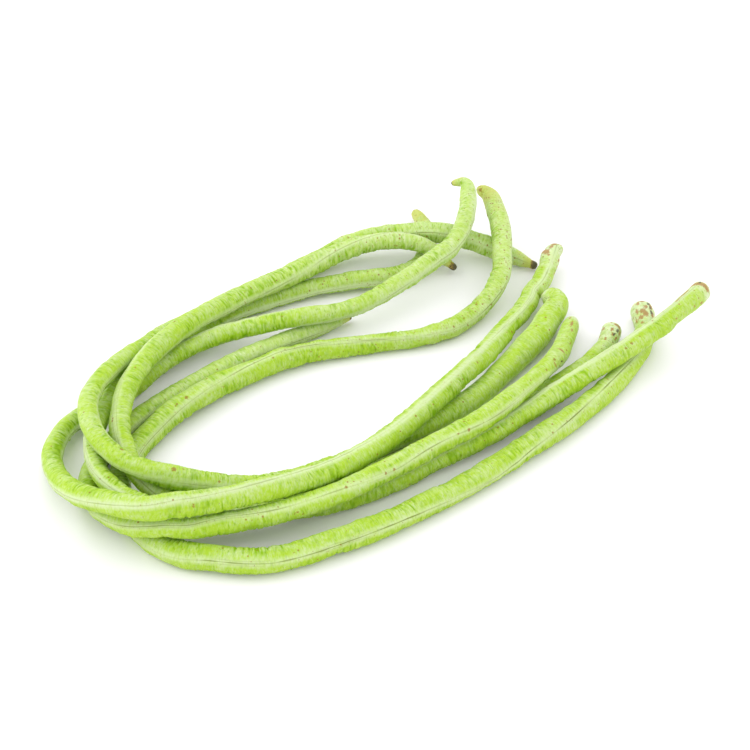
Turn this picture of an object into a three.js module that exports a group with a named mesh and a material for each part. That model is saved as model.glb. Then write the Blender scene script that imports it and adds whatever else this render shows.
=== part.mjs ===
// A bunch of six yardlong beans, folded over on itself and laid on a flat surface.
// Units are millimetres and +Z is up. The surface that the bunch lies on is z = 0.
// Each bean grew in one piece, so each one is a single closed solid.

import * as THREE from 'three';

// ---------- driving dimensions ----------

// Air left between two beans that lie on each other.
const GAP = 0.6;
// Length over which the blunt stem end of a bean rounds over.
const STEM_ROUND = 5;
// Distance between two points of a bean's centre line while the bunch settles.
const SETTLE_STEP = 3;
// Rounds of settling that move crossing beans apart.
const SETTLE_ROUNDS = 160;
// How strongly a bean keeps to its own route, and how stiff it is, in each round.
const ROUTE_PULL = 0.04;
const STIFFNESS = 0.12;
// Flat sides round a bean, with one of them facing straight down.
const SIDES = 12;
// A new ring of corners comes after this much length or this much turning.
const RING_LENGTH = 13;
const RING_TURN = THREE.MathUtils.degToRad(10);

// ---------- skin colours ----------

const PALE_GREEN = '#c3e27a';
const LIME_GREEN = '#b1d95a';
const LEAF_GREEN = '#a3cf4b';
const SKIN_ROUGHNESS = 0.55;

// ---------- the six beans ----------

// A route runs from the stem end to the thin tip, as [x, y, height of the centre].
// A thickness list gives [share of the length, diameter]. A tip is the length of the taper.
const BEANS = [
  {
    name: 'bean_far_left',
    colour: PALE_GREEN,
    tip: 12,
    thickness: [[0, 9.2], [0.1, 9.4], [0.14, 10.6], [0.3, 10.2], [0.36, 10.8],
      [0.39, 10.4], [0.415, 11.4], [0.45, 10.8], [0.49, 10.2], [0.53, 9.2], [0.57, 9.6],
      [0.61, 9.2], [0.66, 8.6], [0.8, 8.8], [0.92, 9.2], [0.97, 8.6], [1, 7.4]],
    route: [
      [87, 86.5, 10], [84.5, 77.5, 9], [79.5, 61.5, 7.5], [72.5, 44.5, 7.5], [63, 28, 8.5], [50, 2, 11.5],
      [34, -24, 15], [18, -46, 15.5], [1, -66, 15.5], [-20, -85, 18], [-53, -105, 23.5],
      [-78, -113.5, 26], [-96, -117, 28], [-113, -107, 22.5], [-126, -95, 17], [-135, -79, 11],
      [-139, -61, 7.5], [-135, -43, 6], [-123, -28, 4.5], [-110, -16, 4.5], [-99, -4, 8],
      [-79, 11, 10.5], [-54, 21, 12], [-29, 27, 13], [-12, 34, 11.5], [4, 45, 12.5],
      [25, 63, 16], [37.5, 75, 19], [43.5, 90, 22.5], [45, 103, 26], [43.5, 112.5, 27.5], [37, 114, 26],
    ],
  },
  {
    name: 'bean_over_top',
    colour: LIME_GREEN,
    tip: 26,
    thickness: [[0, 11], [0.04, 12.4], [0.08, 12.2], [0.13, 10.8], [0.2, 10], [0.3, 10.4],
      [0.4, 10.8], [0.46, 9], [0.6, 8.6], [0.76, 9], [0.88, 10.4], [0.95, 10.2], [1, 8.6]],
    route: [
      [78.5, 48, 8.5], [84.5, 42, 8.5], [81.5, 31.5, 7.5], [71.5, 15.5, 6.5], [61, 0, 6], [50, -15, 5.5],
      [38, -28, 5.2], [17, -44, 5], [-5, -60, 5.2], [-27, -73, 5.2], [-51, -81, 6.2],
      [-68, -85, 10], [-85, -86, 16], [-102, -83, 20.5], [-115, -73, 23.5], [-122, -59, 25.5],
      [-123, -44, 25.5], [-119, -30, 24], [-112, -15, 21.5], [-104, 0, 16.5], [-95, 17, 11],
      [-84, 33, 6], [-71, 47, 4.5], [-49, 64, 4.5], [-28, 79, 5.5], [-13, 87, 9],
      [4, 90, 12], [21, 91, 13.5], [39, 91, 11.5], [56, 88, 7], [78, 78, 2.6],
    ],
  },
  {
    name: 'bean_inner',
    colour: LEAF_GREEN,
    tip: 28,
    thickness: [[0, 8.8], [0.3, 9], [0.6, 9.4], [0.7, 9.9], [0.84, 9.8], [0.92, 8.8],
      [0.96, 8], [1, 7.4]],
    route: [
      [110.5, 30, 5.4], [108, 21.5, 5], [99, 5, 4.6], [86, -8, 4.6], [66, -26, 4.5],
      [44, -42, 4.5], [22, -56, 4.5], [-1, -71, 4.5], [-26, -84, 5], [-52, -92, 5.2],
      [-71, -93, 4.6], [-88, -87, 6.4], [-102, -77, 12.5], [-108, -64, 17], [-110, -48, 19],
      [-108, -33, 21], [-102, -17, 22], [-88, 9, 19.5], [-69, 32, 15.5], [-48, 50, 14],
      [-26, 66, 14.5], [-12, 74, 16], [6, 80, 16.5], [23, 81, 13], [39, 76, 2.6],
    ],
  },
  {
    name: 'bean_far_right',
    colour: LIME_GREEN,
    tip: 12,
    thickness: [[0, 9.6], [0.1, 9.8], [0.2, 9.4], [0.4, 9], [0.55, 8.4], [0.7, 8.6],
      [0.85, 8.6], [0.9, 9.2], [0.94, 8.4], [1, 7]],
    route: [
      [152.5, 36, 22.6], [139.5, 23, 20], [119.5, 4.5, 16.5], [96, -13, 13], [74, -30, 10],
      [53, -47, 8], [31, -62, 6.5], [9, -76, 5.5], [-15, -90, 6.3], [-41, -99, 8.8],
      [-67, -103, 10], [-85, -103, 12.5], [-102, -97, 14.5], [-116, -82, 15.5], [-121, -63, 15],
      [-119, -45, 14.5], [-115, -27, 13.5], [-113, -9, 11], [-103, 3, 6], [-90, 14, 4.5],
      [-71, 34, 6], [-49, 50, 4.4], [-24, 60, 5], [-6, 64, 5.8], [9, 68, 4.8],
      [18, 74, 4.5], [23.5, 84, 4.3], [26, 103, 4], [19.5, 122, 3.6],
    ],
  },
  {
    name: 'bean_middle',
    colour: LEAF_GREEN,
    tip: 34,
    thickness: [[0, 8.2], [0.05, 9], [0.11, 8.9], [0.2, 9.8], [0.3, 10.2], [0.5, 9.8], [0.6, 9.6],
      [0.75, 9.2], [0.9, 9], [1, 8.4]],
    route: [
      [91, 33, 7], [88.5, 22, 8], [84, 4, 10.5], [75, -14, 14.5], [64, -31, 17.5],
      [46, -51, 17.2], [24, -67, 16.4], [2, -83, 15.2], [-18, -96, 14.6], [-41, -106, 15],
      [-66, -113.5, 15.5], [-84, -116.5, 14], [-101, -112, 13.5], [-116, -94, 7.4],
      [-122, -77, 5.1], [-118, -59, 4.6], [-105, -36, 4.7], [-86, -16, 4.6], [-66, 2, 4.6],
      [-44, 18, 4.4], [-28, 28, 4.1], [-11, 39, 2.6],
    ],
  },
  {
    name: 'bean_front',
    colour: PALE_GREEN,
    tip: 11,
    thickness: [[0, 9.8], [0.02, 10], [0.05, 10.8], [0.1, 10.2], [0.16, 11.4], [0.24, 10.8],
      [0.35, 11.4], [0.44, 11.6], [0.5, 10], [0.55, 10.4], [0.64, 11.6], [0.7, 10.4], [0.77, 9],
      [0.84, 9.4], [0.96, 9.8], [1, 8]],
    route: [
      [124.5, 45, 5], [125, 36, 5.1], [123, 19, 5.1], [115.5, 1.5, 5.1], [100, -21, 5.3],
      [81.5, -41, 5.7], [61, -59.5, 5.5], [34, -82.5, 5.2], [4, -103, 5.4], [-19, -115.5, 5.8],
      [-45, -125, 5.8], [-63, -124, 5.9], [-81, -120, 5.6], [-95, -110, 5.2], [-105, -94, 5.1],
      [-109, -76, 5.2], [-105, -60, 5.6], [-91, -37, 7], [-79, -24, 7.6], [-58, -6, 5.8],
      [-35, 8, 5.4], [-9, 15, 4.7], [18, 21, 4.5], [35, 28, 4.8], [48.5, 41.5, 6],
      [58.5, 57.5, 10], [60.5, 73, 13.8], [60.5, 89, 16.3], [58, 106.5, 17.8], [56, 116, 17.5],
      [50.5, 123, 17],
    ],
  },
];

// ---------- thickness along a bean ----------

// Diameter from a list of [share, diameter], eased between two entries.
function diameterAt(list, share) {
  let k = 1;
  while (k < list.length - 1 && share > list[k][0]) {
    k += 1;
  }
  const [fromShare, fromSize] = list[k - 1];
  const [toShare, toSize] = list[k];
  const blend = THREE.MathUtils.smoothstep(share, fromShare, toShare);
  return THREE.MathUtils.lerp(fromSize, toSize, blend);
}

// Radius at a distance from the stem end, with both ends closing in a round nose.
function radiusAt(bean, distance, length) {
  const full = diameterAt(bean.thickness, distance / length) / 2;
  const fromStem = Math.min(distance / STEM_ROUND, 1);
  const fromTip = Math.min((length - distance) / bean.tip, 1);
  const stemNose = Math.sqrt(1 - (1 - fromStem) ** 2);
  const tipNose = Math.sqrt(1 - (1 - fromTip) ** 2.4);
  return full * Math.max(0, Math.min(stemNose, tipNose));
}

// ---------- settling the bunch ----------

// Points at even distances along a bean's route, each with its radius.
function layPoints(bean) {
  const corners = bean.route.map(([x, y, z]) => new THREE.Vector3(x, y, z));
  const curve = new THREE.CatmullRomCurve3(corners, false, 'centripetal');
  curve.arcLengthDivisions = 1200;
  const length = curve.getLength();
  const count = Math.round(length / SETTLE_STEP);
  const points = [];
  for (let i = 0; i <= count; i += 1) {
    const place = curve.getPointAt(i / count);
    const radius = radiusAt(bean, (i / count) * length, length);
    points.push({ home: place.clone(), place, radius });
  }
  return points;
}

// Every pair of points on two beans that comes close enough to touch.
function closePairs(lines) {
  const pairs = [];
  for (let a = 0; a < lines.length; a += 1) {
    for (let b = a + 1; b < lines.length; b += 1) {
      for (const p of lines[a]) {
        for (const q of lines[b]) {
          if (p.place.distanceTo(q.place) < p.radius + q.radius + 8) {
            pairs.push([p, q]);
          }
        }
      }
    }
  }
  return pairs;
}

// Eases each point back to the bend that the bean grew with, between its neighbours.
function straighten(line, share) {
  const middles = line.map((point, i) => {
    const before = line[Math.max(i - 1, 0)].place;
    const after = line[Math.min(i + 1, line.length - 1)].place;
    return before.clone().add(after).multiplyScalar(0.5);
  });
  for (let i = 1; i < line.length - 1; i += 1) {
    const homeMiddle = line[i - 1].home.clone().add(line[i + 1].home).multiplyScalar(0.5);
    const grownBend = line[i].home.clone().sub(homeMiddle);
    line[i].place.lerp(middles[i].add(grownBend), share);
  }
}

// Moves two points apart until their beans have the gap between them.
function separate([p, q]) {
  const apart = q.place.clone().sub(p.place);
  const need = p.radius + q.radius + GAP - apart.length();
  if (need > 0) {
    apart.normalize().multiplyScalar(need / 2);
    p.place.sub(apart);
    q.place.add(apart);
  }
}

// Keeps a bean's lowest flat side on or above the surface.
function keepUp(point) {
  const lowest = point.radius * Math.cos(Math.PI / SIDES);
  point.place.z = Math.max(point.place.z, lowest);
}

function settle(lines) {
  const pairs = closePairs(lines);
  for (let round = 0; round < SETTLE_ROUNDS; round += 1) {
    const late = round > SETTLE_ROUNDS * 0.8;
    for (const line of lines) {
      line.forEach((point) => point.place.lerp(point.home, late ? 0 : ROUTE_PULL));
      straighten(line, late ? STIFFNESS / 3 : STIFFNESS);
    }
    pairs.forEach(separate);
    lines.flat().forEach(keepUp);
  }
}

// ---------- a bean's solid ----------

// Picks the points that carry a ring: closer together where the bean bends.
function ringPoints(line) {
  const last = line.length - 1;
  const rings = [0];
  let length = 0;
  let turn = 0;
  for (let i = 1; i < last; i += 1) {
    const back = line[i].place.clone().sub(line[i - 1].place);
    const ahead = line[i + 1].place.clone().sub(line[i].place);
    length += back.length();
    turn += back.angleTo(ahead);
    const nearEnd = i < 3 || last - i < 6;
    if (length > RING_LENGTH || turn > RING_TURN || nearEnd) {
      rings.push(i);
      length = 0;
      turn = 0;
    }
  }
  rings.push(last);
  return rings;
}

// A straight pod turned on a lathe about Y, then bent so its axis follows the line.
// The ring's flat side faces down, so a bean on the surface rests on real flats.
function beanGeometry(line) {
  const rings = ringPoints(line);
  const profile = rings.map((i, k) => {
    const isEnd = k === 0 || k === rings.length - 1;
    return new THREE.Vector2(isEnd ? 0 : line[i].radius, k);
  });
  const geometry = new THREE.LatheGeometry(profile, SIDES, Math.PI / SIDES, 2 * Math.PI);
  const corners = geometry.attributes.position;
  const corner = new THREE.Vector3();
  for (let c = 0; c < corners.count; c += 1) {
    corner.fromBufferAttribute(corners, c);
    const i = rings[Math.round(corner.y)];
    const before = line[Math.max(i - 1, 0)].place;
    const after = line[Math.min(i + 1, line.length - 1)].place;
    const along = after.clone().sub(before).normalize();
    const side = along.clone().cross(new THREE.Vector3(0, 0, 1)).normalize();
    const top = side.clone().cross(along);
    const place = line[i].place.clone();
    place.addScaledVector(side, corner.x);
    place.addScaledVector(top, corner.z);
    corners.setXYZ(c, place.x, place.y, place.z);
  }
  geometry.computeVertexNormals();
  return geometry;
}

// Moves the solids so the origin is at the middle of the bunch, on the surface.
function centre(geometries) {
  const whole = new THREE.Box3();
  for (const geometry of geometries) {
    geometry.computeBoundingBox();
    whole.union(geometry.boundingBox);
  }
  const middle = whole.getCenter(new THREE.Vector3());
  geometries.forEach((geometry) => geometry.translate(-middle.x, -middle.y, -whole.min.z));
}

// ---------- the bunch ----------

const lines = BEANS.map(layPoints);
settle(lines);
const geometries = lines.map(beanGeometry);
centre(geometries);

const group = new THREE.Group();
BEANS.forEach((bean, k) => {
  const material = new THREE.MeshStandardMaterial({
    color: bean.colour,
    roughness: SKIN_ROUGHNESS,
    metalness: 0,
  });
  const mesh = new THREE.Mesh(geometries[k], material);
  mesh.name = bean.name;
  group.add(mesh);
});

export default group;
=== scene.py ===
"""A bunch of six yardlong beans, folded over and laid on a pale surface.

Each bean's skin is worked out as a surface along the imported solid's own centre line, with its
swellings, cross wrinkles, two seams, corky stem end and own tip, and has a procedural finish.
"""

import math

import bpy
import numpy as np
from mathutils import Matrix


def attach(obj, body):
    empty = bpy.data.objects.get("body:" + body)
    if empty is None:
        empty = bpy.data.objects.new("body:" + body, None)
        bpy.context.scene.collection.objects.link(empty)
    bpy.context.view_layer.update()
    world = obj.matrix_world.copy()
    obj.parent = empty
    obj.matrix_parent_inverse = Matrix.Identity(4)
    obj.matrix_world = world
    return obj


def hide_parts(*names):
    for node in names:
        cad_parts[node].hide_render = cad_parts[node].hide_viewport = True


bl_info = {
    "name": "Yardlong bean bunch",
    "version": (1, 0, 0),
    "blender": (4, 5, 0),
    "location": "3D View > Sidebar > Beans",
    "description": "Grows the skins of a bunch of yardlong beans over the packed solids",
    "category": "Add Mesh",
}

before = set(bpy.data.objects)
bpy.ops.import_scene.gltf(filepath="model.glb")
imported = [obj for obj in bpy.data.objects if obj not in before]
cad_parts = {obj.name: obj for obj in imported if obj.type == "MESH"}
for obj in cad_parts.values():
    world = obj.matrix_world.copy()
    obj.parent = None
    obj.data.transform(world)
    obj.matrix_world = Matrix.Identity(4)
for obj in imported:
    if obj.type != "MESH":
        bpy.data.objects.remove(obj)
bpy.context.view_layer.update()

MM = 0.001

# ---------- what each bean looks like ----------

# glow: how pale the bands along the seams are, 1 being usual, as the seams' own paler skin and a
# painted highlight.
# seam: where the first seam runs, as [share of the length, degrees from straight up, turning to
# the right of the run]. The second one is opposite.
# lines: how strongly the seams' lines show.
# gape: the stretch of the length where the first seam gapes, and none where both ends are the same.
# scars: [share of the length, degrees, size in mm].
# stem: nose is the length in mm over which the end rounds over, blunt how square it is, and the
# end stands short mm back. Two lobes stand up to lobes mm out past the notches between them, one
# side stands up to twice slant mm out past the other, and turn is where round the bean that is.
# Swells are [mm from the end, degrees, mm long, mm wide, mm high]. Cork reaches cork mm from the
# end, and more by rim mm on the side at rimmed degrees. Blots of cork and dark blots are [mm from
# the end, degrees, mm long, mm wide], and fresh is the length in mm of the paler skin.
# tip: shape gives [mm from the tip, radius in mm], dry and dead the lengths in mm of the yellowed
# and of the dead part.
# flecks: how many there are near the stem end, midway and near the tip, 1 being FLECK_SHARE.
BEANS = {
    "bean_far_left": {
        "seed": 11,
        "slot": "skin_far_left",
        "glow": 1.45,
        "seam": [(0, -20), (0.1, -22), (0.15, -2), (0.19, -5), (0.25, -5), (0.29, 8), (0.32, 8),
                 (0.36, -8), (0.4, -18), (0.45, -43), (0.48, -67), (0.52, -86), (0.56, -94),
                 (0.62, -80), (0.67, -30), (0.72, -22), (0.78, -38), (0.85, -92), (0.93, -110),
                 (1, -110)],
        "lines": 0.6,
        "gape": (0.3, 0.3),
        "scars": [(0.114, -69, 2.2), (0.12, -46, 1.5), (0.166, -39, 2.0), (0.222, -48, 1.8),
                  (0.257, -42, 1.3), (0.414, -58, 2.2), (0.928, 40, 1.4)],
        "stem": {"nose": 6, "blunt": 2.2, "short": 0.8, "lobes": 0.6, "slant": 2.6, "turn": -70,
                 "swells": [(11.5, 50, 5.5, 6, 1.1), (6, 58, 4.5, 6, -1.6), (3, -70, 5, 6, 0.6),
                            (7.5, -100, 3.5, 5, -0.5), (20, 0, 9, 60, -0.4)],
                 "cork": 1.2, "rim": 1.6, "rimmed": 20, "fresh": 22,
                 "blots": [(11, 26, 4.6, 3.0), (10.5, 44, 4, 3), (7, 12, 3.4, 3), (4.6, -2, 3, 3),
                           (2.8, -20, 2.4, 3), (2.4, -50, 2.4, 3), (3.4, -85, 3, 2.4),
                           (9, -100, 4, 1.8), (12.5, -72, 3, 1.4), (16, -88, 2.6, 1.4),
                           (21, -84, 2.4, 1.6), (13, 5, 1.6, 1.2)],
                 "dark": [(18.5, -84, 1.8, 1.2)]},
        "tip": {"shape": [(0, 0), (0.5, 1.1), (2, 1.75), (4.5, 2.3), (9, 3.2), (14, 3.9)],
                "dry": 9, "dead": 0.7},
        "flecks": (1.4, 0.2, 0.3),
    },
    "bean_over_top": {
        "seed": 23,
        "slot": "skin_over_top",
        "glow": 0.9,
        "seam": [(0, -121), (0.21, -110), (0.33, -75), (0.373, -55), (0.4, -65), (0.45, -97),
                 (0.48, -105), (0.5, -101), (0.7, -95), (0.77, -100), (0.89, -118), (0.96, -125),
                 (1, -125)],
        "lines": 0.9,
        "gape": (0.915, 0.98),
        "scars": [(0.409, -8, 3.2), (0.402, 6, 1.8), (0.45, 20, 2.8), (0.375, -30, 1.6),
                  (0.458, 34, 1.4)],
        "stem": {"nose": 7, "blunt": 2.0, "short": 0.0, "lobes": 0.0, "slant": 0.0, "turn": 70,
                 "swells": [], "cork": 0.5, "rim": 0.0, "rimmed": 0, "fresh": 4,
                 "blots": [(7, 48, 1.3, 1.2), (9.5, 40, 1.0, 1.0), (13.5, 30, 1.4, 1.2)],
                 "dark": []},
        "tip": {"shape": [(0, 0), (0.4, 1.4), (1.4, 2.1), (3.6, 2.1), (5, 2.5), (8, 3.35),
                          (12, 4.1), (15.5, 4.5)],
                "dry": 16, "dead": 3.0},
        "flecks": (0.3, 0.22, 1.0),
    },
    "bean_inner": {
        "seed": 37,
        "slot": "skin_inner",
        "glow": 0.9,
        "seam": [(0, -100), (0.4, -100), (0.5, -50), (0.54, -30), (0.6, -30), (0.65, -48),
                 (0.7, -74), (0.76, -90), (0.8, -97), (0.84, -120), (0.87, -148), (0.9, -166),
                 (0.93, -190), (1, -220)],
        "lines": 0.6,
        "gape": (0.5, 0.5),
        "scars": [(0.62, 10, 1.6), (0.78, 20, 1.2), (0.875, 20, 1.2), (0.031, -3, 1.6)],
        "stem": {"nose": 4.5, "blunt": 2.2, "short": 0.8, "lobes": 0.3, "slant": 0.2, "turn": 110,
                 "swells": [(6, 0, 8, 60, 0.5), (16, 0, 9, 60, -0.5)],
                 "cork": 1.4, "rim": 1.4, "rimmed": -60, "fresh": 26,
                 "blots": [(8, 50, 3.4, 2.2), (4.4, -24, 2.2, 2.4), (4.6, -45, 2.4, 2.6),
                           (7, -66, 5, 1.6), (11.5, -60, 3, 1.6), (8.5, -12, 3, 1.6),
                           (11, -28, 2.4, 1.6), (15, 0, 2, 1.4), (13, 60, 2.4, 1.2)],
                 "dark": [(7.4, -44, 3.4, 1.8), (10.4, -34, 2.6, 1.6)]},
        "tip": {"shape": [(0, 0), (0.4, 1.2), (1.4, 1.75), (4, 1.8), (6.5, 2.7), (10, 3.25),
                          (14, 3.6)],
                "dry": 12, "dead": 3.2},
        "flecks": (1.2, 0.25, 1.2),
    },
    "bean_far_right": {
        "seed": 41,
        "slot": "skin_far_right",
        "glow": 1.9,
        "seam": [(0, 25), (0.07, 25), (0.11, 15), (0.15, 23), (0.2, 16), (0.25, 0), (0.5, -45),
                 (0.66, -80), (0.86, -88), (1, -88)],
        "lines": 0.45,
        "gape": (0.5, 0.5),
        "scars": [(0.078, -15, 1.4), (0.087, -26, 2.2), (0.093, -32, 1.8), (0.23, -60, 1.2),
                  (0.86, 40, 1.6)],
        "stem": {"nose": 3.4, "blunt": 3.0, "short": 0.8, "lobes": 0.5, "slant": 0.4, "turn": 0,
                 "swells": [(5, 0, 7, 60, 0.25), (22, 0, 14, 60, -0.3)],
                 "cork": 1.4, "rim": 1.2, "rimmed": 10, "fresh": 11,
                 "blots": [(8, 62, 2.4, 3), (6.6, 48, 2.6, 3), (5.4, 34, 2.6, 3), (4.4, 18, 2.8, 3),
                           (3.6, 2, 2.8, 3), (3, -14, 2.8, 3), (3, -30, 2.8, 3), (3.4, -48, 2.4, 3),
                           (13, 30, 8, 1.2), (18, 26, 4, 1.0), (9.5, -90, 2.4, 1.6),
                           (14, -72, 1.6, 1.4), (26, -60, 1.8, 1.2), (20, -6, 1.4, 1.2)],
                 "dark": [(3, 12, 2.0, 1.4)]},
        "tip": {"shape": [(0, 0), (0.6, 1.6), (1.8, 2.4), (5, 3.1), (9, 3.4)],
                "dry": 24, "dead": 1.2},
        "flecks": (0.5, 0.15, 1.8),
    },
    "bean_middle": {
        "seed": 59,
        "slot": "skin_middle",
        "glow": 1.0,
        "seam": [(0, -105), (0.09, -100), (0.13, -72), (0.2, -64), (0.245, -45), (0.275, -45),
                 (0.31, -58), (0.335, -50), (0.365, -32), (0.44, -25), (0.476, -16), (0.505, -33),
                 (0.535, -43), (0.57, -70), (0.62, -90), (1, -95)],
        "lines": 0.8,
        "gape": (0.5, 0.5),
        "scars": [(0.076, -21, 1.8), (0.094, -31, 2.4), (0.115, -45, 1.8), (0.228, 2, 1.6),
                  (0.229, -50, 2.0), (0.24, -44, 1.4), (0.313, -54, 1.8), (0.322, -51, 1.5),
                  (0.362, -30, 1.8), (0.378, -63, 1.4), (0.41, -68, 1.6)],
        "stem": {"nose": 9, "blunt": 2.0, "short": 0.0, "lobes": 0.4, "slant": 0.4, "turn": 40,
                 "swells": [], "cork": 0.9, "rim": 0.0, "rimmed": 0, "fresh": 9,
                 "blots": [(11, -12, 7.0, 1.5), (6, 10, 3.0, 1.4), (25, -60, 4.0, 1.2),
                           (16, -30, 3, 1.2), (36, -24, 1.4, 5), (46, -60, 1.2, 4)],
                 "dark": [(40, -75, 2.0, 1.2)]},
        "tip": {"shape": [(0, 0), (0.5, 1.0), (2, 1.5), (5, 2.1)],
                "dry": 10, "dead": 2},
        "flecks": (1.8, 0.35, 0.5),
    },
    "bean_front": {
        "seed": 73,
        "slot": "skin_front",
        "glow": 1.0,
        "seam": [(0, -40), (0.065, -24), (0.09, -14), (0.12, -21), (0.15, -38), (0.19, -60),
                 (0.22, -84), (0.24, -86), (0.27, -70), (0.32, -58), (0.37, -62), (0.43, -58),
                 (0.46, -70), (0.5, -92), (0.56, -119), (0.61, -130), (0.65, -148), (0.69, -172),
                 (0.74, -165), (0.8, -140), (0.85, -114), (0.9, -112), (1, -112)],
        "lines": 1.2,
        "gape": (0.5, 0.5),
        "scars": [(0.622, 20, 2.8), (0.827, 36, 1.6), (0.832, 45, 1.6), (0.848, 18, 1.4),
                  (0.859, 6, 2.0), (0.922, -15, 1.5), (0.936, -54, 1.6), (0.958, -27, 1.6),
                  (0.56, 30, 1.4), (0.993, -50, 3.0)],
        "stem": {"nose": 4.5, "blunt": 2.2, "short": 0.0, "lobes": 0.3, "slant": 0.2, "turn": 60,
                 "swells": [(7, 0, 9, 60, 0.5), (18, 0, 8, 60, -0.8)],
                 "cork": 1.6, "rim": 1.6, "rimmed": -20, "fresh": 30,
                 "blots": [(3, 4, 3.6, 2.4), (5, 30, 3, 1.8), (8, -8, 3, 2), (11, 10, 4, 3.4),
                           (13, -6, 4, 3), (15, 24, 3.4, 3), (10, 44, 4, 1.6), (18.5, 14, 2.4, 2),
                           (16, 50, 5, 1.4), (7, -36, 5, 2), (12, -44, 4.4, 2)],
                 "dark": [(5.4, -26, 3, 1.6), (8, -32, 2.4, 1.4), (11, -36, 3.4, 1.8),
                          (14, 60, 3, 1.2)]},
        "tip": {"shape": [(0, 0), (0.5, 1.4), (2, 2.6), (5, 3.9), (9, 4.8)],
                "dry": 34, "dead": 0.8},
        "flecks": (1.4, 0.28, 2.8),
    },
}


# ---------- settings that a user would change ----------


class BeanSizes(bpy.types.PropertyGroup):
    """Sizes of the skin's detail"""

    ring_step: bpy.props.FloatProperty(
        name="Ring step",
        description="Distance along a bean between two rings of the skin",
        default=0.00036,
        min=0.0002,
        max=0.01,
        precision=5,
        unit="LENGTH",
    )
    wrinkle_step: bpy.props.FloatProperty(
        name="Wrinkle spacing",
        description="Usual distance along a bean between two cross wrinkles",
        default=0.0014,
        min=0.0005,
        precision=5,
        unit="LENGTH",
    )
    wrinkle_depth: bpy.props.FloatProperty(
        name="Wrinkle depth",
        description="Depth of the cross wrinkles on a bean's flanks",
        default=0.00032,
        min=0.0,
        precision=5,
        unit="LENGTH",
    )
    lump_height: bpy.props.FloatProperty(
        name="Lump height",
        description="How far the seeds and the uneven flesh swell the skin",
        default=0.00036,
        min=0.0,
        precision=5,
        unit="LENGTH",
    )
    seam_width: bpy.props.FloatProperty(
        name="Seam width",
        description="Width of the smooth pale band along each seam",
        default=0.0025,
        min=0.0,
        precision=5,
        unit="LENGTH",
    )
    groove_depth: bpy.props.FloatProperty(
        name="Seam groove depth",
        description="Depth of the thin groove down the middle of each seam",
        default=0.00022,
        min=0.0,
        precision=5,
        unit="LENGTH",
    )


class BeanColours(bpy.types.PropertyGroup):
    """Colours of the skin and its marks"""

    pale: bpy.props.FloatVectorProperty(
        name="Pale skin",
        description="Colour of the skin where it is lightest",
        default=(0.55, 0.67, 0.33),
        subtype="COLOR",
        min=0,
        max=1,
    )
    mid: bpy.props.FloatVectorProperty(
        name="Skin",
        description="Usual colour of the skin",
        default=(0.4, 0.6, 0.035),
        subtype="COLOR",
        min=0,
        max=1,
    )
    # Deep skin is the darker patches' own colour, and also painted shade in the wrinkles.
    deep: bpy.props.FloatVectorProperty(
        name="Deep skin",
        description="Colour in the wrinkles and the darker patches",
        default=(0.24, 0.45, 0.0),
        subtype="COLOR",
        min=0,
        max=1,
    )
    fresh: bpy.props.FloatVectorProperty(
        name="Stem skin",
        description="Colour of the creamy skin round a stem end",
        default=(0.66, 0.74, 0.47),
        subtype="COLOR",
        min=0,
        max=1,
    )
    # The seam band is partly the seams' own paler skin and partly a painted highlight.
    band: bpy.props.FloatVectorProperty(
        name="Seam band",
        description="Colour of the smooth band along a seam",
        default=(0.58, 0.7, 0.36),
        subtype="COLOR",
        min=0,
        max=1,
    )
    line: bpy.props.FloatVectorProperty(
        name="Seam line",
        description="Colour of the groove in a seam",
        default=(0.17, 0.22, 0.02),
        subtype="COLOR",
        min=0,
        max=1,
    )
    fleck: bpy.props.FloatVectorProperty(
        name="Flecks",
        description="Colour of the small rust flecks and scars",
        default=(0.29, 0.155, 0.025),
        subtype="COLOR",
        min=0,
        max=1,
    )
    cork: bpy.props.FloatVectorProperty(
        name="Cork",
        description="Colour of the corky skin on a stem end",
        default=(0.38, 0.2, 0.06),
        subtype="COLOR",
        min=0,
        max=1,
    )
    dry: bpy.props.FloatVectorProperty(
        name="Dry skin",
        description="Colour of the yellowed skin towards a tip",
        default=(0.5, 0.53, 0.11),
        subtype="COLOR",
        min=0,
        max=1,
    )
    dead: bpy.props.FloatVectorProperty(
        name="Dead tip",
        description="Colour of the dead end of a tip",
        default=(0.075, 0.068, 0.045),
        subtype="COLOR",
        min=0,
        max=1,
    )


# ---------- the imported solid's centre line ----------

# Corners of a solid that are closer than this are one corner.
WELD = 0.02 * MM


def rings_of(node):
    """Centres and mean radii of a packed bean's rings, from the stem end to the tip, in metres.

    The solid's corners are joined where they meet. Its two poles are the corners with the most
    edges, and the stem end is the pole farther to the right. A ring is every corner that is the
    same number of edges away from that pole.
    """
    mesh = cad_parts[node].data
    places = np.zeros(len(mesh.vertices) * 3)
    mesh.vertices.foreach_get("co", places)
    places = places.reshape(-1, 3)
    ends = np.zeros(len(mesh.edges) * 2, int)
    mesh.edges.foreach_get("vertices", ends)
    _, first, joined = np.unique(
        np.round(places / WELD), axis=0, return_index=True, return_inverse=True
    )
    corners = places[first]
    edges = np.sort(joined.ravel()[ends.reshape(-1, 2)], axis=1)
    edges = np.unique(edges[edges[:, 0] != edges[:, 1]], axis=0)
    both = np.concatenate([edges, edges[:, ::-1]])
    poles = np.argsort(np.bincount(both[:, 0]))[-2:]
    away = np.full(len(corners), -1)
    away[poles[corners[poles, 0].argmax()]] = 0
    ring = 0
    while (away < 0).any():
        reached = both[away[both[:, 0]] == ring, 1]
        fresh = reached[away[reached] < 0]
        if len(fresh) == 0:
            raise RuntimeError(f"the packed solid of {node} is in more than one piece")
        ring += 1
        away[fresh] = ring
    count = np.bincount(away)
    centres = np.stack([np.bincount(away, corners[:, k]) / count for k in range(3)], axis=1)
    reach = np.linalg.norm(corners - centres[away], axis=1)
    return centres, np.bincount(away, reach) / count


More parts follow.
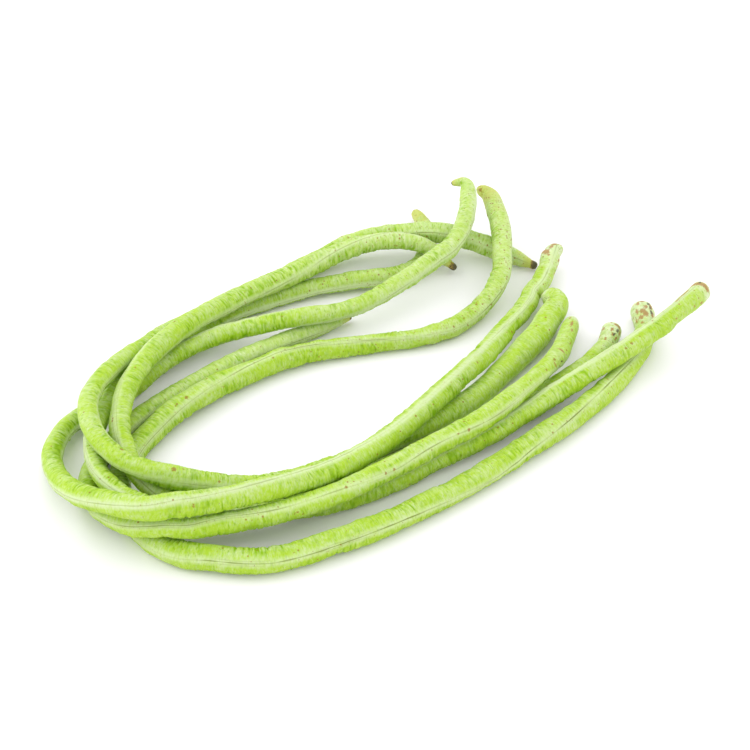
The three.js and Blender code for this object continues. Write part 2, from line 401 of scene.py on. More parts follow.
def eased(knots, values, where):
    """A smooth curve through values at knots, read at where.

    Between two knots it is the cubic that meets both values, with each knot's slope taken from
    its two neighbours.
    """
    knots = np.asarray(knots, float)
    values = np.asarray(values, float)
    slopes = np.gradient(values, knots, axis=0)
    k = np.clip(np.searchsorted(knots, where) - 1, 0, len(knots) - 2)
    gap = knots[k + 1] - knots[k]
    t = (where - knots[k]) / gap
    if values.ndim > 1:
        gap = gap[:, None]
        t = t[:, None]
    near = 2 * t**3 - 3 * t**2 + 1
    far = 3 * t**2 - 2 * t**3
    leave = (t**3 - 2 * t**2 + t) * gap
    arrive = (t**3 - t**2) * gap
    return near * values[k] + far * values[k + 1] + leave * slopes[k] + arrive * slopes[k + 1]


# ---------- the net that a skin is worked out on ----------

# The solid's thickness counts between these two lengths, since it rounds over at its ends.
STEM_CAP = 5.5 * MM
TIP_CAP = 3 * MM
# Lengths over which the relief grows up from nothing at the stem end and at the tip.
STEM_FADE = 4 * MM
TIP_FADE = 6 * MM
# Distances of the closest columns from a seam.
SEAM_COLUMNS = np.array([0, 0.12, 0.26, 0.42, 0.62, 0.9, 1.3]) * MM
# Columns from the last of those by one seam to the first by the other, with both counted.
COLUMNS_BETWEEN = 13


def ring_places(length, step):
    """Distances of the rings: even along the bean, and closer and closer towards each pole."""
    cap = 8
    first = step * 3
    close = first * (np.arange(1, cap) / cap) ** 2
    even = np.linspace(first, length - first, int(length / step) - 5)
    return np.concatenate([close, even, (length - close)[::-1]])


def columns_round(radius):
    """Angles of the columns round a bean from its first seam, closer together at both seams."""
    half = math.pi * radius
    far = half - SEAM_COLUMNS[:0:-1]
    between = np.linspace(SEAM_COLUMNS[-1], far[0], COLUMNS_BETWEEN)[1:-1]
    right = np.concatenate([SEAM_COLUMNS, between, far])
    whole = np.concatenate([right, [half], (2 * half - right[1:])[::-1]])
    return whole / radius


def bean_thickness(bean, knots, radii, s):
    """Radius of the skin at each ring, and what it would be without ends, in metres.

    Along the body it is the solid's own radius, averaged over 11 mm. Over the first few
    millimetres it follows full * (1 - (1 - s / nose)^blunt)^(1 / blunt), and over the last ones
    the tip's table.
    """
    length = knots[-1]
    stem = bean["stem"]
    body = np.interp(np.clip(s, STEM_CAP, length - TIP_CAP), knots, radii)
    even = np.linspace(0, length, int(length / MM))
    smooth = np.interp(even, s, body)
    smooth = np.convolve(np.pad(smooth, 5, "edge"), np.ones(11) / 11, "valid")
    full = np.interp(s, even, smooth)
    inside = np.clip(s / (stem["nose"] * MM), 0, 1)
    radius = full * (1 - (1 - inside) ** stem["blunt"]) ** (1 / stem["blunt"])
    tip = np.array(bean["tip"]["shape"]) * MM
    from_tip = length - s
    shaped = np.interp(from_tip, tip[:, 0], tip[:, 1])
    own = np.clip((tip[-1, 0] * 1.3 - from_tip) / (tip[-1, 0] * 0.6), 0, 1)
    return radius + (np.minimum(shaped, full) - radius) * own, full


def unit(vectors):
    """The same directions at length 1."""
    return vectors / np.linalg.norm(vectors, axis=1, keepdims=True)


def field(along, around, step, columns, luck):
    """Smooth random heights from -1 to 1 on the skin.

    Chance values stand on a net with a row every step along the bean and columns round it, and
    the height between them follows the curve 6t^5 - 15t^4 + 10t^3 both ways. The net closes
    round the bean.
    """
    rows = int(along.max() / step) + 4
    net = luck.uniform(-1, 1, (rows, columns))
    u = np.maximum(along / step + 1, 0)
    v = np.mod(around / (2 * math.pi), 1) * columns
    i = np.minimum(u.astype(int), rows - 2)
    j = v.astype(int) % columns
    a = u - i
    b = v - np.floor(v)
    a = a * a * a * (a * (6 * a - 15) + 10)
    b = b * b * b * (b * (6 * b - 15) + 10)
    after = (j + 1) % columns
    low = net[i, j] * (1 - b) + net[i, after] * b
    high = net[i + 1, j] * (1 - b) + net[i + 1, after] * b
    return low * (1 - a) + high * a


class SkinNet:
    """The net of points that one bean's skin is worked out on, in metres.

    A row is a ring round the solid's centre line, at the distance s from the stem end. The
    columns go round from the first seam. An angle counts from straight up, turning to the right
    of the run, so a point's outward direction is right * sin(angle) + top * cos(angle).
    """

    def __init__(self, name, step):
        self.bean = BEANS[name]
        self.luck = np.random.default_rng(self.bean["seed"])
        centres, radii = rings_of(name)
        spans = np.linalg.norm(np.diff(centres, axis=0), axis=1)
        knots = np.concatenate([[0], np.cumsum(spans)])
        self.length = knots[-1]
        self.s = ring_places(self.length, step)
        self.share = self.s / self.length
        self.line = eased(knots, centres, self.s)
        self.tangent = unit(np.gradient(self.line, self.s, axis=0))
        self.radius, self.full = bean_thickness(self.bean, knots, radii, self.s)
        usual = np.median(self.full)

        right = unit(np.cross(self.tangent, (0, 0, 1)))
        top = np.cross(right, self.tangent)
        seam = np.radians(eased(*np.array(self.bean["seam"], float).T, self.share))
        phi = columns_round(usual)
        self.angle = seam[:, None] + phi[None, :]
        self.radial = right[:, None] * np.sin(self.angle)[..., None]
        self.radial = self.radial + top[:, None] * np.cos(self.angle)[..., None]
        self.along = np.broadcast_to(self.s[:, None], self.angle.shape)
        self.around = np.broadcast_to(phi[None, :], self.angle.shape)

        # How far a point is from the nearer seam, and which seam that is.
        self.from_seam = np.abs((self.around + math.pi / 2) % math.pi - math.pi / 2) * usual
        self.first = (np.cos(self.around) > 0).astype(float)
        # How far into the bend of the bean a point faces.
        bend = np.gradient(self.tangent, self.s, axis=0)
        bend = [np.convolve(bend[:, k], np.ones(15) / 15, "same") for k in range(3)]
        self.inner = (self.radial * np.stack(bend, axis=1)[:, None]).sum(-1) * usual
        # 0 at the poles and 1 along the body.
        ends = np.clip(self.s / STEM_FADE, 0, 1)
        ends = ends * np.clip((self.length - self.s) / TIP_FADE, 0, 1)
        self.ends = (ends**0.8)[:, None]

    def heights(self, step, columns, along=None, around=None):
        """Smooth random heights, at the net's own places unless others are given."""
        along = self.along if along is None else along
        around = self.around if around is None else around
        return field(along, around, step, columns, self.luck)

    def blot(self, place, turn, tall, wide):
        """A soft blot, 1 at a place given in mm from the stem end and degrees round the bean.

        It falls off as exp(-(distance along / half tall)^2 - (distance round / half wide)^2),
        with tall and wide in mm.
        """
        far_along = (self.along / MM - place) / (tall * 0.5)
        apart = (self.angle - math.radians(turn) + math.pi) % (2 * math.pi) - math.pi
        far_round = np.abs(apart) * self.full[:, None] / MM / (wide * 0.5)
        return np.exp(-(far_along**2) - far_round**2)

    def blots(self, places):
        """The strongest of several blots at each point."""
        each = [self.blot(*place) for place in places]
        return np.maximum.reduce(each + [np.zeros(self.angle.shape)])


# ---------- the skin's surface ----------

# How far the skin is drawn in, so that beans lying on each other don't cut into each other.
DRAWN_IN = 0.1 * MM
# The skin's least height over the surface that the bunch lies on.
LEAST_HEIGHT = 0.02 * MM
# A seam's band stands this high, and reaches this many half widths out as it fades.
BAND_RISE = 0.1 * MM
BAND_REACH = 1.6
# Half widths of a seam's middle line and of the fainter line on each side of it, how far out the
# side lines are, and how far they wander.
LINE_HALF = 0.19 * MM
TWIN_HALF = 0.2 * MM
TWIN_APART = 0.8 * MM
LINE_WANDER = 0.12 * MM
# A gape's half width and depth, and the share of the length over which it opens and closes.
GAPE_HALF = 0.4 * MM
GAPE_DEPTH = 0.5 * MM
GAPE_RUN = 0.02
# Length over which a stem end that stands back does so.
SHORT_RUN = 8 * MM


def seam_band(net, width):
    """The smooth band along each seam: 1 at the seam, easing to 0 past its edge."""
    band = np.clip(BAND_REACH - net.from_seam / (width / 2), 0, 1)
    return band * band * (3 - 2 * band)


def cross_wrinkles(net, step, band):
    """How deep the skin is creased, how strong the wrinkles are, and the places they were read at.

    A wrinkle is a short dent where a smooth random height dips below -0.08, on a net that is
    much finer along the bean than round it. Coarse and fine dents and thin folds add up. They
    come in patches, deepen on the inner side of a bend and underneath, and fade on the seams,
    at both ends and some way along from the stem end and the tip.
    """
    drawn = net.along + 0.8 * MM * net.heights(9 * MM, 4) + 0.5 * MM * net.heights(3 * MM, 6)
    dent = np.clip(-1.5 * net.heights(step * 0.5, 9, drawn) - 0.12, 0, 1)
    finer = np.clip(-1.5 * net.heights(step * 0.3, 13, drawn) - 0.12, 0, 1)
    fold = np.clip(1 - np.abs(net.heights(step * 1.2, 5, drawn)) * 3.5, 0, 1)
    under = np.clip(0.45 - net.radial[..., 2], 0, 1.45)
    strength = 0.5 + 0.5 * net.heights(12 * MM, 5) + 5 * net.inner + 0.45 * under
    calm_stem = np.clip(0.25 + net.s / (110 * MM), 0, 1)
    calm_tip = np.clip(0.35 + (net.length - net.s) / (90 * MM), 0, 1)
    strength = np.clip(strength, 0.1, 2.0) * net.ends * (calm_stem * calm_tip)[:, None]
    crease = (dent + 0.5 * finer + 0.55 * fold**2) * strength * (1 - 0.85 * band)
    return crease, strength, drawn


def seam_lines(net):
    """The grooves of both seams and the gape of the first one, each from 0 to about 1.

    A line down the middle of a seam and a fainter one on each side of it fall off as
    exp(-(distance / half width)^2). The side lines wander nearer and farther, and the first
    seam's middle line widens where they are near. Each comes and goes along the bean.
    """
    at_seam = net.around * 0
    wobble = LINE_WANDER * net.heights(5 * MM, 1, around=at_seam)
    line = np.exp(-(((net.from_seam + wobble * net.first) / LINE_HALF) ** 2))
    twin = np.exp(-(((net.from_seam - TWIN_APART - wobble) / TWIN_HALF) ** 2))
    broken = np.clip(0.7 + 0.7 * net.heights(16 * MM, 1, around=at_seam), 0.15, 1)
    broken_twin = 0.2 + 0.9 * net.heights(22 * MM, 2, around=net.first * math.pi)
    broken_twin = np.clip(broken_twin, 0, 1)
    groove = (line * broken * net.bean["lines"] + 0.5 * twin * broken_twin) * net.ends
    start, stop = net.bean["gape"]
    gape = np.clip((net.share - start) / GAPE_RUN, 0, 1)
    gape = gape * np.clip((stop - net.share) / GAPE_RUN, 0, 1)
    gape = gape[:, None] * net.first * np.exp(-((net.from_seam / GAPE_HALF) ** 2))
    return groove, gape


def lumps(net, strength, drawn):
    """Random swellings of the seeds and the flesh: long, middling and short heights, added up.

    The short ones are higher where the wrinkles are strong.
    """
    return (
        net.heights(11 * MM, 3)
        + 0.7 * net.heights(4.2 * MM, 5)
        + 0.55 * net.heights(1.7 * MM, 7, drawn) * np.clip(strength, 0, 1.3)
    )


def stem_reach(net):
    """How far the stem end stands out along the bean at each angle, in mm.

    The two lobes are lobes * (cos(2 * turned) / 2 - 0.35) and the slant is slant * (cos(turned)
    - 1), with turned as the angle from the bean's turn, plus a random height.
    """
    stem = net.bean["stem"]
    turned = net.angle - math.radians(stem["turn"])
    reach = stem["lobes"] * (0.5 * np.cos(2 * turned) - 0.35)
    reach = reach + stem["slant"] * (np.cos(turned) - 1)
    return reach + 0.35 * net.heights(2 * MM, 6)


def bean_surface(name, sizes):
    """The skin of one bean as rings of points, its two poles, its unbent places and its marks.

    A point stands on a ring round the solid's centre line, a little inside the bean's radius.
    It is moved out by the swellings and by each seam's band, and in by the cross wrinkles, the
    seams' grooves and the gape. Towards a pole that is scaled down with the ring. The stem end
    is then moved along the bean by its lobes and its slant, and back where it stands short.
    """
    net = SkinNet(name, sizes.ring_step)
    band = seam_band(net, sizes.seam_width)
    crease, strength, drawn = cross_wrinkles(net, sizes.wrinkle_step, band)
    groove, gape = seam_lines(net)
    uneven = sizes.lump_height * lumps(net, strength, drawn)
    out = (
        -DRAWN_IN
        + uneven * (0.3 + 0.7 * net.ends) * (1 - 0.5 * band)
        - sizes.wrinkle_depth * np.clip(crease, 0, 1.8)
        + BAND_RISE * band * net.ends
        - sizes.groove_depth * groove
        - GAPE_DEPTH * gape * net.ends
    )
    reach = stem_reach(net)
    stem = net.bean["stem"]
    for place, turn, tall, wide, high in stem["swells"]:
        near = net.blot(place, turn, tall, wide)
        out = out + high * MM * near * (0.85 + 0.3 * net.heights(2.5 * MM, 5))

    half = net.radius / net.full
    rise = 4 * half * (1 - half) * (net.s < net.length / 2)
    short = stem["short"] * MM * np.clip(1 - net.s / SHORT_RUN, 0, 1) ** 2
    back = rise[:, None] * reach * MM - short[:, None]
    points = net.line[:, None]
    points = points + net.radial * (net.radius[:, None] + half[:, None] * out)[..., None]
    points = points - net.tangent[:, None] * back[..., None]
    points[..., 2] = np.maximum(points[..., 2], LEAST_HEIGHT)
    stem_pole = net.line[0] + net.tangent[0] * (short[0] - net.s[0])
    tip_pole = net.line[-1] + net.tangent[-1] * (net.length - net.s[-1])

    marks = bean_marks(net)
    # The finish also paints the creases deeper green as painted shade.
    marks["crease"] = np.clip(crease, 0, 1.5)
    # Painted light: how far a point faces up. The finish paints the top paler and the underside
    # deeper.
    marks["painted_top_light"] = 0.5 + 0.5 * net.radial[..., 2]
    # The band's paleness: partly the seam's own colour, partly a painted highlight scaled by glow.
    marks["band"] = band * net.ends * net.bean["glow"]
    marks["groove"] = np.clip(groove, 0, 1)
    marks["gape"] = gape * net.ends
    across = net.full[:, None] * np.cos(net.around)
    upwards = net.full[:, None] * np.sin(net.around)
    unbent = np.stack([net.along, across, upwards], axis=-1) / MM
    return points, (stem_pole, tip_pole), unbent, marks


def bean_marks(net):
    """Where a bean's flecks, scars, cork and dry skin are, as numbers from 0 to about 1.

    Scars, blots of cork and dark blots are soft round their middles. The ends' marks fall off
    with the distance from the end, plus a random height for an uneven edge. Flecks are given as
    how many there are.
    """
    bean = net.bean
    stem = bean["stem"]
    near, midway, far = bean["flecks"]
    flecks = np.interp(net.share, [0.05, 0.1, 0.7, 0.9], [near, midway, midway, far])
    patch = net.heights(2.6 * MM, 6)
    scars = [(place * net.length / MM, turn, size, size) for place, turn, size in bean["scars"]]
    from_tip = (net.length - net.s)[:, None] / MM
    from_stem = net.along / MM
    facing = 0.5 + 0.5 * np.cos(net.angle - math.radians(stem["rimmed"]))
    cork = 1.15 - from_stem / (stem["cork"] + stem["rim"] * facing**2) + 0.55 * patch
    young = np.clip(1.6 - 1.6 * from_stem / stem["fresh"] + 0.3 * patch, 0, 1)
    thin = 0.38 * np.clip(1.3 - from_tip / 120 + 0.3 * patch, 0, 1)
    return {
        "scar": net.blots(scars),
        "fleck": np.broadcast_to(flecks[:, None], net.angle.shape),
        "dry": np.clip(1 - from_tip / bean["tip"]["dry"] + 0.2 * patch, 0, 1),
        "dead": np.clip(1.5 - from_tip / bean["tip"]["dead"] + 0.3 * patch, 0, 1),
        "cork": np.maximum(np.clip(cork, 0, 1), net.blots(stem["blots"])),
        "stalk": np.maximum(young, thin),
        "dark": net.blots(stem["dark"]),
    }


def closed_mesh(name, points, poles):
    """A closed mesh from rings of points and the two poles, with its faces outwards.

    Neighbouring rings are joined by four-sided faces, and the first and the last ring by
    triangles to their poles. The corners are the rings in order, then the two poles.
    """
    rings, columns = points.shape[:2]
    ring = np.arange(rings - 1)[:, None] * columns
    here = np.arange(columns)[None, :]
    after = (here + 1) % columns
    quads = np.stack([ring + here, ring + after, ring + columns + after, ring + columns + here], -1)
    quads = quads.reshape(-1, 4)
    one = here.ravel()
    two = after.ravel()
    last = (rings - 1) * columns
    start = rings * columns
    first_cap = np.stack([one * 0 + start, two, one], -1)
    last_cap = np.stack([one * 0 + start + 1, last + one, last + two], -1)
    corners = np.concatenate([points.reshape(-1, 3), np.array(poles)])
    loops = np.concatenate([quads.ravel(), first_cap.ravel(), last_cap.ravel()])
    sizes = np.concatenate([np.full(len(quads), 4), np.full(2 * columns, 3)])
    mesh = bpy.data.meshes.new(name)
    mesh.vertices.add(len(corners))
    mesh.vertices.foreach_set("co", corners.ravel())
    mesh.loops.add(len(loops))
    mesh.loops.foreach_set("vertex_index", loops.astype(np.int32))
    mesh.polygons.add(len(sizes))
    starts = np.concatenate([[0], np.cumsum(sizes)[:-1]])
    mesh.polygons.foreach_set("loop_start", starts.astype(np.int32))
    mesh.polygons.foreach_set("use_smooth", np.ones(len(sizes), bool))
    mesh.update(calc_edges=True)
    if mesh.validate(verbose=False):
        raise RuntimeError(f"the skin of {name} has faces that don't join up")
    return mesh


def write_marks(mesh, unbent, marks):
    """Keeps the unbent place and the marks of each corner on the mesh for the finish to read."""
    ends = np.stack([unbent[0].mean(0), unbent[-1].mean(0)])
    place = mesh.attributes.new("unbent", "FLOAT_VECTOR", "POINT")
    place.data.foreach_set("vector", np.concatenate([unbent.reshape(-1, 3), ends]).ravel())
    for name, values in marks.items():
        ends = [values[0].mean(), values[-1].mean()]
        mark = mesh.attributes.new(name, "FLOAT", "POINT")
        mark.data.foreach_set("value", np.concatenate([values.ravel(), ends]))


# ---------- the skin's finish ----------

# Distance in mm between two beans' places in the patterns, for each step of their seeds.
SEED_APART = 13.7
# The share of a pattern's cells that hold a fleck, where a bean's flecks are 1.
FLECK_SHARE = 0.13
# Marks that are laid over the rest, from the bottom up: the mark, its colour, how torn its edge
# is, the levels where it starts and where it is full, and its strength.
TORN_MARKS = (
    ("scar", "fleck", 1.4, 1.2, 1.45, 0.8),
    ("cork", "cork", 1.3, 1.02, 1.25, 0.85),
    ("dark", "dead", 1.0, 0.9, 1.15, 0.85),
    ("dead", "fleck", 0.8, 0.85, 1.05, 0.8),
    ("dead", "dead", 1.0, 1.15, 1.4, 0.9),
)
# How the skin takes light: a little of it goes through, green farthest, and the wax is dull.
SKIN_LIGHT = {
    "Subsurface Weight": 0.2,
    "Subsurface Radius": (0.7, 1.0, 0.25),
    "Subsurface Scale": 0.0012,
    "Specular IOR Level": 0.25,
}


class Finish:
    """A procedural material under construction"""

    def __init__(self, name):
        self.material = bpy.data.materials.new(name)
        self.material.use_nodes = True
        self.tree = self.material.node_tree
        self.shader = self.tree.nodes["Principled BSDF"]

    def add(self, kind, inputs=None, **settings):
        """A node of this kind, with its settings and with values or other sockets as inputs."""
        node = self.tree.nodes.new(kind)
        for key, value in settings.items():
            setattr(node, key, value)
        for key, value in (inputs or {}).items():
            self.put(node.inputs[key], value)
        return node

    def put(self, socket, value):
        """Links a socket to another node's socket, or sets its constant value or colour."""
        if isinstance(value, bpy.types.NodeSocket):
            self.tree.links.new(value, socket)
        elif socket.type == "RGBA":
            socket.default_value = (*value, 1.0)
        else:
            socket.default_value = value

    def mark(self, name):
        """A mark kept on the mesh, as a number."""
        return self.add("ShaderNodeAttribute", attribute_name=name).outputs["Fac"]

    def maths(self, operation, one, two, clamp=False):
        """One number worked out from two."""
        node = self.add("ShaderNodeMath", {0: one, 1: two}, operation=operation, use_clamp=clamp)
        return node.outputs[0]

    def times(self, one, two, clamp=False):
        """The product of two numbers, kept from 0 to 1 if it is clamped."""
        return self.maths("MULTIPLY", one, two, clamp)

    def plus(self, one, two):
        """The sum of two numbers."""
        return self.maths("ADD", one, two)

    def between(self, value, low, high, start=0.0, end=1.0):
        """Turns the range low to high into start to end, eased at both ends."""
        node = self.add(
            "ShaderNodeMapRange",
            {"Value": value, "From Min": low, "From Max": high, "To Min": start, "To Max": end},
            interpolation_type="SMOOTHSTEP",
        )
        return node.outputs[0]

    def paint(self, under, over, amount):
        """Lays one colour over another by an amount from 0 to 1."""
        node = self.add("ShaderNodeMix", {0: amount, 6: under, 7: over}, data_type="RGBA")
        return node.outputs[2]

    def stretched(self, place, along, across):
        """The unbent place, for a pattern with this many cells a mm along and across the bean."""
        node = self.add("ShaderNodeMapping", {"Vector": place, "Scale": (along, across, across)})
        return node.outputs[0]

    def noise(self, place, scale, detail, rough=0.5):
        """Soft random heights from 0 to 1, with detail as how many finer layers they have."""
        node = self.add(
            "ShaderNodeTexNoise",
            {"Vector": place, "Scale": scale, "Detail": detail, "Roughness": rough},
        )
        return node.outputs["Fac"]

    def spots(self, place, scale, size, share):
        """Round spots in a share of the cells of a random net, 1 inside a spot and 0 outside.

        Size is the radius of the largest spot, as a part of a cell.
        """
        node = self.add("ShaderNodeTexVoronoi", {"Vector": place, "Scale": scale})
        apart = self.add("ShaderNodeSeparateColor", {0: node.outputs["Color"]})
        chosen = self.maths("LESS_THAN", apart.outputs[0], share)
        wide = self.times(apart.outputs[1], size)
        inside = self.maths("SUBTRACT", wide, node.outputs["Distance"])
        edge = self.between(inside, 0.0, size * 0.35)
        return self.times(edge, chosen)


def green_skin(skin, place, colours):
    """The skin's green from deep to pale, creamier where it is young. Gives it and the mottling.

    Large blotches, the mottling and a fine hatching across the bean add up to a tone. Painted light
    makes it a little paler on the top side, where the light falls, and deeper underneath.
    """
    blotch = skin.noise(skin.stretched(place, 0.09, 0.16), 1.0, 3.0, 0.6)
    mottle = skin.noise(skin.stretched(place, 0.95, 0.42), 1.0, 3.0, 0.6)
    tone = skin.times(mottle, 0.5)
    tone = skin.plus(tone, skin.times(blotch, 0.5))
    # Painted light: the top side is painted paler and the underside deeper.
    tone = skin.plus(tone, skin.between(skin.mark("painted_top_light"), 0.25, 1.0, -0.05, 0.03))
    hatch = skin.noise(skin.stretched(place, 2.2, 0.6), 1.0, 1.0)
    tone = skin.plus(tone, skin.between(hatch, 0.3, 0.7, -0.05, 0.05))
    colour = skin.paint(colours.deep, colours.mid, skin.between(tone, 0.1, 0.48))
    colour = skin.paint(colour, colours.pale, skin.between(tone, 0.4, 0.76, 0.0, 0.95))
    creamy = skin.between(mottle, 0.3, 0.6, 0.5, 1.0)
    young = skin.times(skin.mark("stalk"), creamy, clamp=True)
    return skin.paint(colour, colours.fresh, young), mottle


def dark_ticks(skin, place, colours, colour):
    """Lays deeper green in the wrinkles and in ticks across the bean. Gives it and the ticks."""
    # Painted shade: the wrinkles are painted deeper green. It is stronger on the inner side of a
    # bend and underneath, where the creases are stronger.
    crease = skin.times(skin.mark("crease"), 0.95, clamp=True)
    colour = skin.paint(colour, colours.deep, crease)
    ticks = skin.spots(skin.stretched(place, 2.0, 0.5), 1.0, 0.5, 0.5)
    wide_ticks = skin.spots(skin.stretched(place, 1.3, 0.32), 1.0, 0.42, 0.35)
    patchy = skin.between(skin.noise(place, 0.12, 1.0), 0.4, 0.6, 0.3, 0.85)
    colour = skin.paint(colour, colours.deep, skin.times(ticks, patchy))
    return skin.paint(colour, colours.deep, skin.times(wide_ticks, 0.65)), ticks


def seam_colours(skin, place, colours, colour, mottle):
    """Lays over the seams' pale bands with a little rust, their lines and the gape."""
    # The pale band is partly the seam's own colour and partly a painted highlight.
    band = skin.times(skin.mark("band"), skin.between(mottle, 0.2, 0.6, 0.35, 0.7))
    colour = skin.paint(colour, colours.band, skin.maths("MINIMUM", band, 1.0))
    rust = skin.times(skin.spots(place, 1.6, 0.4, 0.2), skin.mark("band"))
    colour = skin.paint(colour, colours.fleck, skin.times(rust, 0.4))
    groove = skin.times(skin.mark("groove"), 0.85)
    colour = skin.paint(colour, colours.line, groove)
    return skin.paint(colour, colours.dead, skin.times(skin.mark("gape"), 0.8))


def worn_colours(skin, place, colours, colour):
    """Lays over the yellowed skin towards the tip, the flecks, and the marks with torn edges."""
    ragged = skin.noise(place, 1.1, 4.0, 0.7)
    dry = skin.plus(skin.mark("dry"), skin.times(ragged, 0.6))
    colour = skin.paint(colour, colours.dry, skin.between(dry, 0.45, 1.15, 0.0, 0.85))

    share = skin.times(skin.mark("fleck"), FLECK_SHARE)
    flecks = skin.spots(place, 0.85, 0.55, share)
    colour = skin.paint(colour, colours.fleck, skin.times(flecks, 0.8))
    dots = skin.spots(place, 1.6, 0.55, share)
    colour = skin.paint(colour, colours.fleck, skin.times(dots, 0.6))

    rough = skin.noise(place, 1.7, 3.0, 0.6)
    for mark, paint, tear, low, high, most in TORN_MARKS:
        torn = skin.plus(skin.mark(mark), skin.times(rough, tear))
        torn = skin.between(torn, low, high, 0.0, most)
        colour = skin.paint(colour, getattr(colours, paint), torn)
    return colour


def waxy_surface(skin, place, ticks):
    """The skin's fine relief, which dips in the ticks, and its dull wax."""
    fine = skin.noise(skin.stretched(place, 1.9, 0.7), 1.0, 2.0, 0.6)
    grain = skin.noise(place, 3.2, 2.0, 0.6)
    height = skin.plus(fine, skin.times(grain, 0.35))
    height = skin.maths("SUBTRACT", height, skin.times(ticks, 0.6))
    bump = skin.add("ShaderNodeBump", {"Height": height, "Strength": 0.8, "Distance": 0.00025})
    skin.put(skin.shader.inputs["Normal"], bump.outputs[0])
    skin.put(skin.shader.inputs["Roughness"], skin.between(grain, 0.2, 0.8, 0.45, 0.65))
    for key, value in SKIN_LIGHT.items():
        skin.put(skin.shader.inputs[key], value)


def skin_finish(name, colours, seed):
    """The finish of one bean: mottled waxy green skin with seams, wrinkles, flecks and dry ends.

    Its patterns are read at the unbent place in mm, so they follow the bean round every turn.
    """
    skin = Finish(name)
    unbent = skin.add("ShaderNodeAttribute", attribute_name="unbent").outputs["Vector"]
    shift = (seed * SEED_APART, 0, 0)
    place = skin.add("ShaderNodeMapping", {"Vector": unbent, "Location": shift}).outputs[0]
    colour, mottle = green_skin(skin, place, colours)
    colour, ticks = dark_ticks(skin, place, colours, colour)
    colour = seam_colours(skin, place, colours, colour, mottle)
    colour = worn_colours(skin, place, colours, colour)
    skin.put(skin.shader.inputs["Base Color"], colour)
    waxy_surface(skin, place, ticks)
    return skin.material


# ---------- the stage ----------

# How far the floor reaches each way, and how it and the room take and give light.
FLOOR_REACH = 4.0
FLOOR_LIGHT = {"Base Color": (0.93, 0.91, 0.98), "Roughness": 0.7, "Specular IOR Level": 0.1}
ROOM_LIGHT = {"Color": (1.0, 1.0, 0.97, 1), "Strength": 1.25}
# Each lamp: its name, its place, the width of its square face and its power in watts.
LAMPS = (
    ("left_softbox", (-1.0, 0.1, 0.8), 1.2, 4.6),
    ("back_softbox", (0.6, 0.5, 1.1), 1.4, 1.4),
)
LAMP_COLOUR = (0.97, 0.96, 1.0)
# The camera looks down at this place on the floor, from this far away and at this tilt. Its lens
# is in mm.
CAMERA_AIM = (-0.005103, 0.003932, 0.0)
CAMERA_AWAY = 1.0
CAMERA_TILT = math.radians(40)
CAMERA_LENS = 105.6


def lay_floor(scene):
    """A wide flat pale floor at the height that the bunch lies on."""
    pale = Finish("pale_floor")
    for key, value in FLOOR_LIGHT.items():
        pale.put(pale.shader.inputs[key], value)
    mesh = bpy.data.meshes.new("floor")
    sides = ((-1, -1), (1, -1), (1, 1), (-1, 1))
    corners = [(x * FLOOR_REACH, y * FLOOR_REACH, 0) for x, y in sides]
    mesh.from_pydata(corners, [], [(0, 1, 2, 3)])
    mesh.materials.append(pale.material)
    floor = bpy.data.objects.new("floor", mesh)
    scene.collection.objects.link(floor)


def light_room(scene):
    """An even, nearly white room all round, with its colours shown plainly."""
    world = bpy.data.worlds.new("soft_white_room")
    world.use_nodes = True
    for key, value in ROOM_LIGHT.items():
        world.node_tree.nodes["Background"].inputs[key].default_value = value
    scene.world = world
    scene.view_settings.view_transform = "Standard"


def hang_lamp(scene, name, place, size, power):
    """A square soft light that faces the middle of the bunch."""
    light = bpy.data.lights.new(name, "AREA")
    light.shape = "SQUARE"
    light.size = size
    light.energy = power
    light.color = LAMP_COLOUR
    lamp = bpy.data.objects.new(name, light)
    lamp.location = place
    away = np.array(place) / np.linalg.norm(place)
    lamp.rotation_euler = (math.acos(away[2]), 0, math.atan2(away[0], -away[1]))
    scene.collection.objects.link(lamp)


def stand_camera(scene):
    """The camera, in front of the bunch and looking down at it."""
    view = bpy.data.cameras.new("view")
    view.lens = CAMERA_LENS
    view.sensor_width = 36.0
    view.clip_end = 20.0
    camera = bpy.data.objects.new("view", view)
    away = np.array((0, -math.cos(CAMERA_TILT), math.sin(CAMERA_TILT))) * CAMERA_AWAY
    camera.location = np.array(CAMERA_AIM) + away
    camera.rotation_euler = (math.pi / 2 - CAMERA_TILT, 0, 0)
    scene.collection.objects.link(camera)
    scene.camera = camera


# ---------- the operators ----------


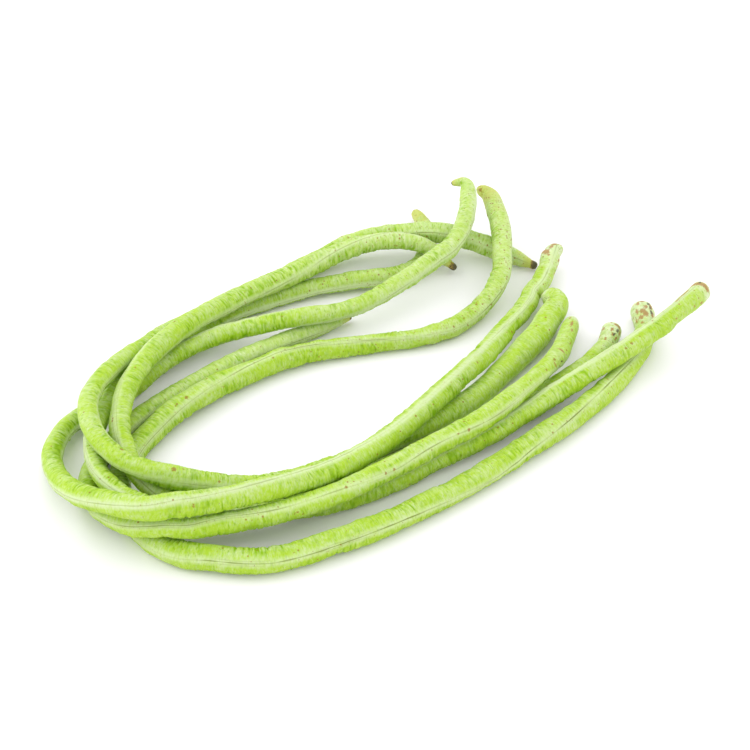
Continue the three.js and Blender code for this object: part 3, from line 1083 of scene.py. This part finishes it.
class MESH_OT_yardlong_beans(bpy.types.Operator):
    """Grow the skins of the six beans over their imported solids"""

    bl_idname = "mesh.yardlong_beans"
    bl_label = "Grow the beans"
    bl_options = {"REGISTER", "UNDO"}

    def execute(self, context):
        sizes = context.scene.bean_sizes
        colours = context.scene.bean_colours
        for name, bean in BEANS.items():
            points, poles, unbent, marks = bean_surface(name, sizes)
            mesh = closed_mesh(f"{name}_skin", points, poles)
            write_marks(mesh, unbent, marks)
            mesh.materials.append(skin_finish(f"{name}_finish", colours, bean["seed"]))
            piece = bpy.data.objects.new(f"{name}_skin", mesh)
            context.scene.collection.objects.link(piece)
            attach(piece, "root")
            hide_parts(name)
        return {"FINISHED"}


class SCENE_OT_bean_stage(bpy.types.Operator):
    """Set out the pale floor, the soft lights and the camera"""

    bl_idname = "scene.bean_stage"
    bl_label = "Set out the stage"
    bl_options = {"REGISTER", "UNDO"}

    def execute(self, context):
        lay_floor(context.scene)
        light_room(context.scene)
        for lamp in LAMPS:
            hang_lamp(context.scene, *lamp)
        stand_camera(context.scene)
        return {"FINISHED"}


class VIEW3D_PT_yardlong_beans(bpy.types.Panel):
    """Lists the bean bunch's sizes, colours and steps"""

    bl_idname = "VIEW3D_PT_yardlong_beans"
    bl_label = "Yardlong bean bunch"
    bl_space_type = "VIEW_3D"
    bl_region_type = "UI"
    bl_category = "Beans"

    def draw(self, context):
        for settings in (context.scene.bean_sizes, context.scene.bean_colours):
            for key in settings.__annotations__:
                self.layout.prop(settings, key)
        self.layout.operator("mesh.yardlong_beans")
        self.layout.operator("scene.bean_stage")


CLASSES = (
    BeanSizes,
    BeanColours,
    MESH_OT_yardlong_beans,
    SCENE_OT_bean_stage,
    VIEW3D_PT_yardlong_beans,
)


def register():
    """Makes the settings, the steps and the panel known to Blender."""
    for cls in CLASSES:
        bpy.utils.register_class(cls)
    bpy.types.Scene.bean_sizes = bpy.props.PointerProperty(type=BeanSizes)
    bpy.types.Scene.bean_colours = bpy.props.PointerProperty(type=BeanColours)


def unregister():
    """Takes the settings, the steps and the panel away again."""
    del bpy.types.Scene.bean_colours
    del bpy.types.Scene.bean_sizes
    for cls in reversed(CLASSES):
        bpy.utils.unregister_class(cls)


def main():
    """Registers the add-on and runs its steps."""
    register()
    bpy.ops.mesh.yardlong_beans()
    bpy.ops.scene.bean_stage()


if __name__ == "__main__":
    main()
